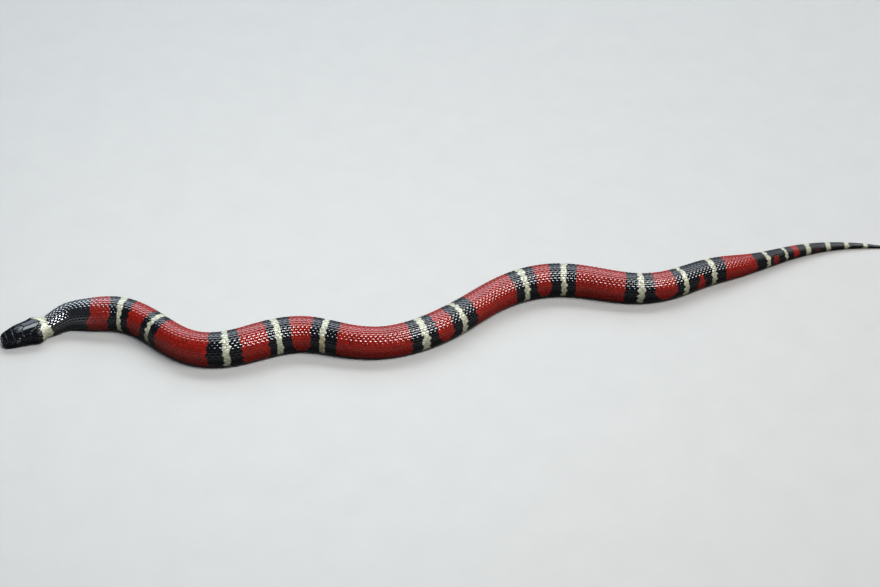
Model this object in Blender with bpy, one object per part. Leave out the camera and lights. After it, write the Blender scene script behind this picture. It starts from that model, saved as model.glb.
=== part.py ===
"""A young milk snake, life size, lying still in loose bends. Metres, +Z up, head toward -X.

The belly lies flat on the floor at z = 0. The body is a loft along a smooth spine route,
parted by thin cuts into a neck, six trunk lengths and two tail lengths. The head is a loft
of its own, with the lower jaw, the eyes and the nostrils cut clear.
"""
import math

import bmesh
import bpy
import numpy as np
from mathutils import Matrix, Vector

MM = 0.001
GAP = 0.3 * MM

# Head: the snout tip on the floor plan, the way the head points, and its length to the nape
SNOUT_TIP = (-199.8, -27.0)
HEAD_TURN_DEG = 25.2
HEAD_LENGTH = 20.0

# Plan of the spine behind the nape, in millimetres, chosen along the bends
SPINE_ROUTE = [
    (-174.0, -13.1), (-163.0, -11.9), (-150.0, -12.3), (-138.0, -17.9), (-125.5, -28.2),
    (-114.0, -34.5), (-101.0, -34.8), (-85.0, -29.0), (-68.5, -25.5), (-52.0, -28.9),
    (-36.0, -30.3), (-20.0, -25.5), (-4.0, -14.9), (12.0, -0.6), (27.0, 8.2),
    (43.0, 11.3), (60.0, 8.8), (76.0, 6.1), (90.0, 8.4), (107.0, 16.8),
    (128.0, 25.0), (152.0, 35.7), (175.0, 41.3), (200.6, 41.0),
]

# Girth behind the nape: (distance along the spine, half width), in millimetres
GIRTH = [
    (0.0, 4.6), (12.0, 6.15), (25.0, 7.3), (45.0, 7.0), (70.0, 7.0), (108.0, 7.8),
    (128.0, 7.4), (155.0, 6.8), (188.0, 7.1), (205.0, 6.9), (237.0, 7.3), (262.0, 7.0),
    (290.0, 6.5), (312.0, 6.1), (325.0, 5.6), (342.0, 4.2), (362.0, 3.1), (386.0, 1.8),
    (404.0, 0.8), (412.5, 0.2),
]
HEIGHT_TO_HALF_WIDTH = 1.83
WIDEST_AT = 0.47
BELLY_SQUARENESS = 2.6
BELLY_SINK = 0.94
BODY_SIDES = 20
RING_SPACING = 3.2

NECK_LENGTH = 28.0
TRUNK_END = 342.0
TRUNK_LENGTHS = 6
TAIL_SPLIT = 376.0

# Head outline: (distance behind the snout, half width, chin height, crown height), millimetres
HEAD_STATIONS = [
    (0.0, 0.5, 2.9, 3.9), (0.2, 1.45, 2.1, 4.5), (0.7, 2.5, 1.2, 5.1), (1.5, 3.25, 0.65, 5.55),
    (2.8, 3.8, 0.2, 6.0), (4.5, 4.3, 0.0, 6.5), (7.0, 4.8, 0.0, 7.1), (10.0, 5.3, 0.0, 7.6),
    (13.5, 6.15, 0.0, 8.0), (15.8, 6.95, 0.0, 8.25), (18.2, 5.75, 0.0, 8.35), (20.0, 4.6, 0.0, 8.42),
]
HEAD_SIDES = 32
HEAD_RINGS = (0.0, 0.1, 0.25, 0.5, 0.9, 1.4, 2.1, 3.0, 4.0, 5.0, 6.0, 7.0, 8.0, 9.2, 10.5, 12.0,
              13.5, 15.0, 16.5, 17.8, 19.0, 20.0)
CROWN_SQUARENESS = 3.3
CHEEK_WIDEST_AT = 0.40

# Mouth line: (distance behind the snout, height), millimetres; it turns up at its corner
MOUTH_LINE = [(-1.0, 2.55), (2.0, 2.45), (6.0, 2.5), (10.0, 2.3), (14.0, 2.5), (18.0, 3.3)]
JAW_END = 18.8
LIP_SWELL = 0.12
LIP_REACH = 0.8

EYE_BEHIND_SNOUT = 7.0
EYE_HEIGHT = 4.65
EYE_RADIUS = 1.25
EYE_BULGE = 0.3

# The brow: how far it swells, how high it lies over the eye, and how far it spreads along and up
BROW_SWELL = 0.18
BROW_RISE = 1.5
BROW_SPREAD = (2.5, 1.0)

# The nostril: its place, size and the way it points, as (forward, sideways, up)
NOSTRIL_BEHIND_SNOUT = 1.55
NOSTRIL_HEIGHT = 4.0
NOSTRIL_RADIUS = 0.38
NOSTRIL_DEPTH = 0.7
NOSTRIL_WAY = (0.35, 1.0, 0.15)

# The block that parts the jaws: it reaches past the head's sides, tip and chin
MOUTH_BLOCK_REACH = 9.0
MOUTH_BLOCK_MARGIN = 1.0

BLACK = (0.012, 0.012, 0.016)
RED = (0.32, 0.015, 0.006)
CREAM = (0.72, 0.70, 0.56)
EYE_BLACK = (0.006, 0.005, 0.005)
SKIN_ROUGHNESS = 0.35
EYE_ROUGHNESS = 0.05
SHARP_EDGE_DEG = 40.0


def clear_scene():
    for thing in list(bpy.data.objects):
        bpy.data.objects.remove(thing, do_unlink=True)


def new_collection(name):
    collection = bpy.data.collections.new(name)
    bpy.context.scene.collection.children.link(collection)
    return collection


def skin_material(name, colour, roughness):
    material = bpy.data.materials.new(name)
    material.use_nodes = True
    shader = material.node_tree.nodes["Principled BSDF"]
    shader.inputs["Base Color"].default_value = (*colour, 1.0)
    shader.inputs["Roughness"].default_value = roughness
    shader.inputs["Metallic"].default_value = 0.0
    material.diffuse_color = (*colour, 1.0)
    return material


class SmoothCurve:
    """A cubic spline through points at rising distances, with its start slope held if given."""

    def __init__(self, distances, values, start_slope=None):
        self.t = np.array(distances, float)
        self.values = np.array(values, float).reshape(len(distances), -1)
        count = len(self.t)
        step = np.diff(self.t)
        slope = np.diff(self.values, axis=0) / step[:, None]
        matrix = np.zeros((count, count))
        right = np.zeros_like(self.values)
        matrix[0, 0] = matrix[-1, -1] = 1.0
        if start_slope is not None:
            matrix[0, :2] = 2.0 * step[0], step[0]
            right[0] = 6.0 * (slope[0] - np.array(start_slope))
        for i in range(1, count - 1):
            matrix[i, i - 1:i + 2] = step[i - 1], 2.0 * (step[i - 1] + step[i]), step[i]
            right[i] = 6.0 * (slope[i] - slope[i - 1])
        self.bend = np.linalg.solve(matrix, right)

    def at(self, where):
        i = int(np.clip(np.searchsorted(self.t, where) - 1, 0, len(self.t) - 2))
        step = self.t[i + 1] - self.t[i]
        before = where - self.t[i]
        after = self.t[i + 1] - where
        cubic = (self.bend[i] * after ** 3 + self.bend[i + 1] * before ** 3) / (6.0 * step)
        start = (self.values[i] / step - self.bend[i] * step / 6.0) * after
        end = (self.values[i + 1] / step - self.bend[i + 1] * step / 6.0) * before
        return cubic + start + end


class Spine:
    """The spine's plan from the nape to the tail tip, read by the distance along it."""

    SAMPLES = 3000
    SIDE_REACH = 0.5

    def __init__(self):
        turn = math.radians(HEAD_TURN_DEG)
        heading = (math.cos(turn), math.sin(turn))
        nape = [tip + HEAD_LENGTH * way for tip, way in zip(SNOUT_TIP, heading)]
        points = np.array([nape] + SPINE_ROUTE)
        chords = np.linalg.norm(np.diff(points, axis=0), axis=1)
        knots = np.concatenate([[0.0], np.cumsum(chords)])
        curve = SmoothCurve(knots, points, heading)
        self.plan = np.array([curve.at(t) for t in np.linspace(0.0, knots[-1], self.SAMPLES)])
        steps = np.linalg.norm(np.diff(self.plan, axis=0), axis=1)
        self.distance = np.concatenate([[0.0], np.cumsum(steps)])
        self.length = self.distance[-1]

    def place(self, distance):
        x = np.interp(distance, self.distance, self.plan[:, 0])
        y = np.interp(distance, self.distance, self.plan[:, 1])
        return Vector((x, y, 0.0))

    def side(self, distance):
        """The level direction across the body, toward the animal's right."""
        along = self.place(distance + self.SIDE_REACH) - self.place(distance - self.SIDE_REACH)
        return Vector((-along.y, along.x, 0.0)).normalized()


def section(half_width, low, high, widest, crown_power, sides):
    """Points around a body section, as (across, up): a domed back over a flat belly."""
    middle = low + widest * (high - low)
    points = []
    for i in range(sides):
        angle = 2.0 * math.pi * i / sides
        across = math.cos(angle)
        up = math.sin(angle)
        power = crown_power if up >= 0.0 else BELLY_SQUARENESS
        x = math.copysign(abs(across) ** (2.0 / power), across) * half_width
        rise = abs(up) ** (2.0 / power)
        if up >= 0.0:
            z = middle + (high - middle) * rise
        else:
            z = max(middle - (middle - low) / BELLY_SINK * rise, low)
        points.append((x, z))
    return points


def loft(name, rings, material, collection):
    """A closed mesh through rings of equal point counts, with a flat face on each end."""
    mesh = bmesh.new()
    loops = [[mesh.verts.new(point) for point in ring] for ring in rings]
    count = len(loops[0])
    for near, far in zip(loops, loops[1:]):
        for i in range(count):
            j = (i + 1) % count
            mesh.faces.new((near[i], near[j], far[j], far[i]))
    mesh.faces.new(loops[0])
    mesh.faces.new(loops[-1])
    return add_object(name, mesh, material, collection)


def add_object(name, mesh, material, collection):
    bmesh.ops.recalc_face_normals(mesh, faces=mesh.faces)
    data = bpy.data.meshes.new(name)
    mesh.to_mesh(data)
    mesh.free()
    thing = bpy.data.objects.new(name, data)
    collection.objects.link(thing)
    if material:
        data.materials.append(material)
    data.shade_smooth()
    data.set_sharp_from_angle(angle=math.radians(SHARP_EDGE_DEG))
    return thing


def add_cutter(name, mesh, collection):
    cutter = add_object(name, mesh, None, collection)
    cutter.hide_render = True
    cutter.display_type = "WIRE"
    return cutter


def cut(thing, cutter, operation):
    boolean = thing.modifiers.new(cutter.name, "BOOLEAN")
    boolean.operation = operation
    boolean.solver = "EXACT"
    boolean.object = cutter


def body_ring(spine, girth, distance):
    half_width = girth.at(distance)[0]
    height = HEIGHT_TO_HALF_WIDTH * half_width
    centre = spine.place(distance)
    side = spine.side(distance)
    outline = section(half_width, 0.0, height, WIDEST_AT, 2.0, BODY_SIDES)
    return [(centre + side * x + Vector((0.0, 0.0, z))) * MM for x, z in outline]


def body_lengths(spine):
    """Where each named length of the body starts and ends along the spine."""
    lengths = [("neck", 0.0, NECK_LENGTH)]
    step = (TRUNK_END - NECK_LENGTH) / TRUNK_LENGTHS
    for i in range(TRUNK_LENGTHS):
        start = NECK_LENGTH + i * step
        lengths.append((f"trunk_{i + 1}", start, start + step))
    lengths.append(("tail_1", TRUNK_END, TAIL_SPLIT))
    lengths.append(("tail_2", TAIL_SPLIT, spine.length))
    return lengths


def build_body(spine, materials, collection):
    stretch = spine.length / GIRTH[-1][0]
    girth = SmoothCurve([d * stretch for d, _ in GIRTH], [w for _, w in GIRTH])
    half_gap = GAP / MM / 2.0
    for name, start, end in body_lengths(spine):
        first = start + half_gap
        last = end if name == "tail_2" else end - half_gap
        count = max(2, round((last - first) / RING_SPACING))
        rings = [body_ring(spine, girth, first + (last - first) * i / count) for i in range(count + 1)]
        loft(name, rings, materials[name.split("_")[0]], collection)


def head_point(behind, across, height):
    """A place on the head, from the snout tip backward, across to the right, and up."""
    return Vector((behind, across, height)) * MM


def head_frame():
    turn = Matrix.Rotation(math.radians(HEAD_TURN_DEG), 4, "Z")
    return Matrix.Translation(Vector((*SNOUT_TIP, 0.0)) * MM) @ turn


def mouth_height(behind):
    return float(np.interp(behind, *zip(*MOUTH_LINE)))


HEAD_SHAPE = SmoothCurve([station[0] for station in HEAD_STATIONS], [station[1:] for station in HEAD_STATIONS])


def head_profile(behind):
    """The head's section at a distance: half width, chin, crown, widest share, crown squareness."""
    half_width, low, high = HEAD_SHAPE.at(behind)
    back = behind / HEAD_LENGTH
    widest = CHEEK_WIDEST_AT + (WIDEST_AT - CHEEK_WIDEST_AT) * back
    power = CROWN_SQUARENESS + (2.0 - CROWN_SQUARENESS) * back ** 2
    return half_width, max(low, 0.0), high, widest, power


def side_width(behind, height):
    """Half the head's width at a place above its widest line."""
    half_width, low, high, widest, power = head_profile(behind)
    middle = low + widest * (high - low)
    rise = max(height - middle, 0.0) / (high - middle)
    return half_width * (1.0 - rise ** power) ** (1.0 / power)


def head_ring(behind):
    half_width = head_profile(behind)[0]
    ring = []
    fade = math.sin(math.pi * min(behind / HEAD_LENGTH, 1.0)) ** 0.5
    for x, z in section(*head_profile(behind), HEAD_SIDES):
        lip = LIP_SWELL * math.exp(-((z - mouth_height(behind)) / LIP_REACH) ** 2)
        along, up = behind - EYE_BEHIND_SNOUT, z - EYE_HEIGHT - BROW_RISE
        over_eye = math.hypot(along / BROW_SPREAD[0], up / BROW_SPREAD[1])
        swell = fade * (lip + BROW_SWELL * math.exp(-over_eye ** 2))
        ring.append(head_point(behind, x + math.copysign(swell, x) * (abs(x) > half_width / 2.0), z))
    return ring


def head_loft(name, material, collection):
    half_gap = GAP / MM / 2.0
    rings = [head_ring(behind) for behind in HEAD_RINGS[:-1] + (HEAD_LENGTH - half_gap,)]
    return loft(name, rings, material, collection)


def mouth_block(name, drop, collection):
    """A prism under the mouth line, as wide as the head, lowered and shortened by the drop."""
    outline = [(behind, height - drop) for behind, height in MOUTH_LINE]
    outline += [(JAW_END - drop, mouth_height(JAW_END) - drop)]
    outline += [(JAW_END - drop, -MOUTH_BLOCK_MARGIN), (-MOUTH_BLOCK_MARGIN, -MOUTH_BLOCK_MARGIN)]
    mesh = bmesh.new()
    near = [mesh.verts.new(head_point(behind, -MOUTH_BLOCK_REACH, height)) for behind, height in outline]
    face = mesh.faces.new(near)
    swept = bmesh.ops.extrude_face_region(mesh, geom=[face])["geom"]
    moved = [part for part in swept if isinstance(part, bmesh.types.BMVert)]
    bmesh.ops.translate(mesh, verts=moved, vec=Vector((0.0, 2.0 * MOUTH_BLOCK_REACH, 0.0)) * MM)
    return add_cutter(name, mesh, collection)


def ball(radius, centre):
    mesh = bmesh.new()
    bmesh.ops.create_uvsphere(mesh, u_segments=16, v_segments=10, radius=radius * MM)
    bmesh.ops.rotate(mesh, verts=mesh.verts, matrix=Matrix.Rotation(math.pi / 2.0, 3, "X"))
    bmesh.ops.translate(mesh, verts=mesh.verts, vec=head_point(*centre))
    return mesh


def nostril_cutter(side, collection):
    mesh = bmesh.new()
    bmesh.ops.create_cone(mesh, cap_ends=True, segments=10, radius1=NOSTRIL_RADIUS * MM,
                          radius2=NOSTRIL_RADIUS * MM, depth=2.0 * NOSTRIL_DEPTH * MM)
    forward, sideways, up = NOSTRIL_WAY
    outward = Vector((-forward, side * sideways, up)).normalized()
    bmesh.ops.rotate(mesh, verts=mesh.verts, matrix=outward.to_track_quat("Z", "Y").to_matrix())
    across = side * side_width(NOSTRIL_BEHIND_SNOUT, NOSTRIL_HEIGHT)
    bmesh.ops.translate(mesh, verts=mesh.verts,
                        vec=head_point(NOSTRIL_BEHIND_SNOUT, across, NOSTRIL_HEIGHT))
    return add_cutter("nostril_cut_left" if side < 0 else "nostril_cut_right", mesh, collection)


def build_head(materials, collection, cutters):
    frame = head_frame()
    head = head_loft("head", materials["head"], collection)
    jaw = head_loft("lower_jaw", materials["head"], collection)
    head_cutters = [mouth_block("mouth_cut", 0.0, cutters)]
    jaw_cutter = mouth_block("jaw_keep", GAP / MM, cutters)
    eye_across = side_width(EYE_BEHIND_SNOUT, EYE_HEIGHT) + EYE_BULGE - EYE_RADIUS
    for side, word in ((-1, "left"), (1, "right")):
        centre = (EYE_BEHIND_SNOUT, side * eye_across, EYE_HEIGHT)
        eye = add_object(f"eye_{word}", ball(EYE_RADIUS, centre), materials["eye"], collection)
        eye.matrix_world = frame
        socket = ball(EYE_RADIUS + GAP / MM, centre)
        head_cutters.append(add_cutter(f"socket_cut_{word}", socket, cutters))
        head_cutters.append(nostril_cutter(side, cutters))
    for cutter in head_cutters:
        cutter.matrix_world = frame
        cut(head, cutter, "DIFFERENCE")
    jaw_cutter.matrix_world = frame
    cut(jaw, jaw_cutter, "INTERSECT")
    head.matrix_world = frame
    jaw.matrix_world = frame


def build_snake():
    clear_scene()
    collection = new_collection("milk_snake")
    cutters = new_collection("cutters")
    materials = {
        "head": skin_material("head_black", BLACK, SKIN_ROUGHNESS),
        "neck": skin_material("collar_cream", CREAM, SKIN_ROUGHNESS),
        "trunk": skin_material("trunk_red", RED, SKIN_ROUGHNESS),
        "tail": skin_material("tail_black", BLACK, SKIN_ROUGHNESS),
        "eye": skin_material("eye_gloss", EYE_BLACK, EYE_ROUGHNESS),
    }
    spine = Spine()
    build_head(materials, collection, cutters)
    build_body(spine, materials, collection)


build_snake()
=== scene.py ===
"""The milk snake's looks: skin, scales, head plates, eyes, floor, lights and camera."""
import math

import bpy
import numpy as np
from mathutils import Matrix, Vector
from mathutils.geometry import delaunay_2d_cdt


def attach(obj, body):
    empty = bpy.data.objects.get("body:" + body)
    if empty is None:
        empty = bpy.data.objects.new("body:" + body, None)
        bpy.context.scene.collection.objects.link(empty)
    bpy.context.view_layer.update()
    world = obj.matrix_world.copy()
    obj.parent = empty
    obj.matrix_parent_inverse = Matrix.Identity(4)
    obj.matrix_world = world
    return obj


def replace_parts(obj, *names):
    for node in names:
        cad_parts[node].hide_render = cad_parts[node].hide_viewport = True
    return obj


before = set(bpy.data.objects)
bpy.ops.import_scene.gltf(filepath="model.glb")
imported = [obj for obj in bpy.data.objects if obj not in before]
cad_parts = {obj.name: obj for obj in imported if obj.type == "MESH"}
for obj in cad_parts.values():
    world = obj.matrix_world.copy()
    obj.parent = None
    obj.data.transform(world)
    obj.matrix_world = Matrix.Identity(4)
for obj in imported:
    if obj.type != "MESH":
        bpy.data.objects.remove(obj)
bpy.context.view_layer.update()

MM = 0.001
SEED = 7

# The spine's plan and the head's place, in millimetres, as in the solids
SNOUT_TIP = (-199.8, -27.0)
HEAD_TURN_DEG = 25.2
HEAD_LENGTH = 20.0
SPINE_ROUTE = [
    (-174.0, -13.1), (-163.0, -11.9), (-150.0, -12.3), (-138.0, -17.9), (-125.5, -28.2),
    (-114.0, -34.5), (-101.0, -34.8), (-85.0, -29.0), (-68.5, -25.5), (-52.0, -28.9),
    (-36.0, -30.3), (-20.0, -25.5), (-4.0, -14.9), (12.0, -0.6), (27.0, 8.2),
    (43.0, 11.3), (60.0, 8.8), (76.0, 6.1), (90.0, 8.4), (107.0, 16.8),
    (128.0, 25.0), (152.0, 35.7), (175.0, 41.3), (200.6, 41.0),
]

# Girth behind the nape: (distance along the spine, half width)
GIRTH = [
    (0.0, 4.6), (12.0, 6.15), (25.0, 7.3), (45.0, 7.0), (70.0, 7.0), (108.0, 7.8),
    (128.0, 7.4), (155.0, 6.8), (188.0, 7.1), (205.0, 6.9), (237.0, 7.3), (262.0, 7.0),
    (290.0, 6.5), (312.0, 6.1), (325.0, 5.6), (342.0, 4.2), (362.0, 3.1), (386.0, 1.8),
    (404.0, 0.8), (412.5, 0.2),
]
HEIGHT_TO_HALF_WIDTH = 1.83
WIDEST_AT = 0.47
BELLY_SQUARENESS = 2.6
BELLY_SINK = 0.94
TAIL_ROUND = 0.4

# Head outline: (distance behind the snout, half width, chin height, crown height)
HEAD_STATIONS = [
    (0.03, 0.0, 3.4, 3.4), (0.06, 0.5, 2.9, 3.9), (0.2, 1.45, 2.1, 4.5), (0.7, 2.5, 1.2, 5.1),
    (1.5, 3.25, 0.65, 5.55), (2.8, 3.8, 0.2, 6.0), (4.5, 4.3, 0.0, 6.5), (7.0, 4.8, 0.0, 7.1),
    (10.0, 5.3, 0.0, 7.6), (13.5, 6.15, 0.0, 8.0), (15.8, 6.95, 0.0, 8.25), (18.2, 5.75, 0.0, 8.35),
    (20.0, 4.6, 0.0, 8.42),
]
CROWN_SQUARENESS = 3.3
CHEEK_WIDEST_AT = 0.40
MOUTH_LINE = [(-1.0, 2.55), (2.0, 2.45), (6.0, 2.5), (10.0, 2.3), (14.0, 2.5), (18.0, 3.3)]
MOUTH_END = 18.0
MOUTH_DEPTH = 0.35
MOUTH_HALF_HEIGHT = 0.22
MOUTH_FADE = 1.5

# Swellings of the face: how far they stand out, their place and their reach along and up
LIP_SWELL = 0.16
LIP_REACH = 0.9
BROW_SWELL = 0.20
BROW_ABOVE_EYE = 1.5
BROW_REACH = (2.4, 0.8)
CHEEK_SWELL = 0.12
CHEEK_PLACE = (13.5, 4.6)
CHEEK_REACH = (4.0, 1.6)

EYE_BEHIND_SNOUT = 7.0
EYE_HEIGHT = 4.65
EYE_RADIUS = 1.25
EYE_FLATTENING = 0.80
EYE_SINK = 0.50

# The eye's colour by the way from its middle: pupil, a thin pale ring and a dark iris
IRIS = [
    (0.0, (0.002, 0.002, 0.003)), (0.48, (0.002, 0.002, 0.003)), (0.53, (0.032, 0.016, 0.010)),
    (0.60, (0.013, 0.008, 0.006)), (0.85, (0.008, 0.005, 0.005)), (1.0, (0.004, 0.004, 0.005)),
]

# Cream rings behind the nape, each inside a black one: (black from, cream from, cream to, black to, lean).
# A leaning ring lies further forward on the animal's right and further back on its left.
RINGS = [
    (29.9, 33.7, 36.5, 40.6, 0.9), (49.6, 52.5, 55.2, 58.9, 0.0), (81.7, 87.1, 89.8, 94.2, 0.0),
    (105.6, 109.0, 112.1, 116.8, 0.0), (126.6, 130.8, 133.7, 138.6, 0.3), (167.9, 172.3, 175.4, 179.3, 0.0),
    (186.6, 190.7, 193.6, 199.5, -0.2), (223.0, 227.5, 230.7, 234.9, 0.0), (242.2, 247.2, 250.2, 254.8, 0.0),
    (276.5, 281.5, 284.2, 288.3, 0.0), (297.3, 300.7, 303.2, 311.0, 0.0), (311.0, 315.9, 318.8, 323.8, 0.0),
    (339.5, 344.9, 347.2, 352.0, 0.6), (352.0, 355.5, 357.3, 360.3, 0.3), (363.6, 367.4, 370.1, 374.0, 0.0),
    (374.0, 377.9, 380.4, 384.0, 0.0), (384.0, 386.9, 389.4, 393.0, 0.0), (393.0, 396.1, 398.5, 413.0, 0.0),
]
CREAM_INSET = 0.15

# The red lengths narrow downwards: short ones by this share of their width, long ones by this much
SHORT_RED = 10.5
SHORT_RED_CLOSING = 0.5
SHORT_RED_CURVE = 2.2
LONG_RED_CLOSING = 1.2

# Shares of the way round over which a side counts as low, as belly and as worn: (from, over)
LOW_DOWN = (0.42, 0.30)
BELLY_SIDE = (0.62, 0.38)
WORN_SIDE = (0.30, 0.26)

# The nape's black ends here, and low on the sides this much further forward
NAPE_BLACK_TO = 21.7
NAPE_BLACK_BACK = [(0.30, 0.0), (0.45, -1.8), (0.66, -1.8), (0.9, 0.0)]

# The cream collar, by the share of the way round from the back's middle (right +, left -)
COLLAR_FRONT = [
    (-1.0, 16.0), (-0.8, 16.6), (-0.62, 17.2), (-0.45, 17.2), (-0.30, 17.2), (-0.16, 17.4), (0.0, 17.8),
    (0.08, 17.4), (0.14, 15.5), (0.22, 15.0), (0.45, 14.9), (0.62, 15.3), (0.8, 15.8), (1.0, 16.0),
]
COLLAR_BACK = [
    (-1.0, 0.8), (-0.6, 1.2), (-0.45, 1.3), (-0.33, 0.9), (-0.18, 0.4), (0.0, 0.4), (0.15, 1.1),
    (0.30, 1.3), (1.0, 0.8),
]

# Painted shade: how much darker the colours are painted low on the sides, by the share of the way round
LOW_PAINTED_SHADE = [(0.34, 1.0), (0.54, 0.70), (0.72, 0.70), (0.92, 0.95)]

# The clear coat's weight: by the distance behind the nape, and worn and dusty low on the sides
GLOSS_ALONG = [
    (-8.0, 0.33), (-2.0, 0.36), (2.0, 1.0), (19.0, 1.0), (24.0, 0.60), (40.0, 0.36), (300.0, 0.34),
    (345.0, 0.24),
]
LOW_GLOSS = 0.16

# Linear colours read as dry, clean scales
RED = (0.205, 0.0085, 0.0030)
BLACK = (0.0028, 0.0032, 0.005)
CREAM = (0.375, 0.366, 0.272)
DULL_RED = (0.15, 0.012, 0.007)
FAINT_RED = (0.05, 0.012, 0.010)
TAN = (0.34, 0.28, 0.165)

# Patches low on the sides: (share from, share to, from, to, colour)
PATCHES = [
    (0.27, 0.42, 308.8, 311.2, RED), (0.42, 0.80, 307.8, 312.0, RED), (0.24, 0.74, 349.2, 352.4, DULL_RED),
    (0.34, 0.80, 371.8, 375.2, FAINT_RED), (0.28, 0.62, 131.25, 133.3, TAN),
]

# The skin under the scales, and what is sunk in it: (depth, reach)
COAT_DEPTH = 0.26
SKIN_SIDES = 96
HEAD_RINGS = 150
BODY_RINGS = 660
TIP_RINGS = (0.4, 0.25, 0.13, 0.05, 0.0)
TIP_RINGS_FROM = 0.6
NOSTRIL_PLACE = (1.55, 3.86)
NOSTRIL = (0.55, 0.27)
EYE_SEAT = (0.22, 1.35)
CHIN_GROOVE = (0.18, 0.22)
CHIN_GROOVE_START = (3.5, 1.5)
CHIN_GROOVE_TO = 11.0
CHIN_GROOVE_FADE = 2.0
MERGE_METRES = 0.0000001

# The coat grows thinner over these lengths at the snout and at the tail's tip: (length, least share)
SNOUT_THIN = (0.5, 0.04)
TAIL_THIN = (3.0, 0.015)

# Scales: pitch along the body and across it at the girth they were counted on, and how both follow the girth
SCALE_PITCH = 1.98
ROW_SPACING = 1.50
COUNTED_HALF_WIDTH = 7.2
PITCH_POWER = 0.35
SPACING_POWER = 0.62
LEAST_PITCH = 0.9
HEAD_SPREAD = 1.06

# Where the scales and the belly plates lie, and the share of the way round that the plates take
HEAD_SCALES_FROM = 4.0
VENTRALS_FROM = 17.0
VENT_AT = 342.0
BELLY_SHARE = 0.22
SCALES_OVER_BELLY = 0.93
SCALES_ON_THROAT = 1.02
PLATE_CLEARANCE = 0.34
LAST_PLATE_BEFORE = 24.0
SCALES_SHORT_OF_TIP = 0.8
VENTRALS_SHORT_OF_TIP = 1.2

# One scale: its outline, its reach by the pitch and by the spacing, its thickness, and how it is tipped up
LOZENGE_SQUARENESS = 1.34
SCALE_LENGTH = 0.74
SCALE_WIDTH = 0.86
SCALE_THICKNESS = 0.24
THICKNESS_LIMITS = (0.05, 0.25)
SCALE_TILT = 0.035
SCALE_PIVOT = 0.3
SCALE_SEAT = 0.02
UNDERSIDE_SINK = 0.06
COLOUR_READ_AT = 0.60

# Chance changes from scale to scale: size, tilt, where the markings fall and how light they are
GROW_CHANCE = 0.025
TILT_CHANCE = 0.010
WANDER_CHANCE = 0.16
TONE_CHANCE = 0.10
BELLY_TONE_CHANCE = 0.05

# Belly plates: reach by the pitch, drawn in corners, rounded top and tilt
BELLY_LENGTH = 0.66
BELLY_OVERLAP = 1.10
BELLY_CORNERS = 0.16
BELLY_DOME = 0.12
BELLY_TILT = 0.07
BELLY_PIVOT = 0.4
BELLY_UNDERSIDE_SINK = 0.03
PAIR_STAGGER = 0.25

# The first belly plates are narrower: (up to this far behind the nape, share of the width)
FIRST_PLATES = (2.0, 0.75)

# The coat's pieces, how wide a scale's patch is on the unwrap, and the unwrap's margins
NECK_COAT_TO = 28.0
TRUNK_PIECES = 6
PATCH = 0.0015
PATCH_MARGIN = 0.002
STRIP_MARGIN = 0.02
PLATE_UNWRAP_LENGTH = 25.0

# Head plates: half the seam between two, how deep rim and top lie, the rounded edge, and the mesh
PLATE_SEAM = 0.045
PLATE_SEAT = 0.20
PLATE_TOP = 0.03
PLATE_EDGE = 0.26
PLATE_ROUNDING = 2.4
PLATE_RINGS = (0.07, 0.17, 0.30)
RING_KEPT_FROM = 0.93
PLATE_GRID = 0.30
PLATE_GRID_INSET = 0.44

# The lip plates' edges follow the mouth, this far above and below it
UPPER = "upper lip"
LOWER = "lower lip"
LIP_EDGES = {UPPER: -0.16, LOWER: 0.16}

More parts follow.
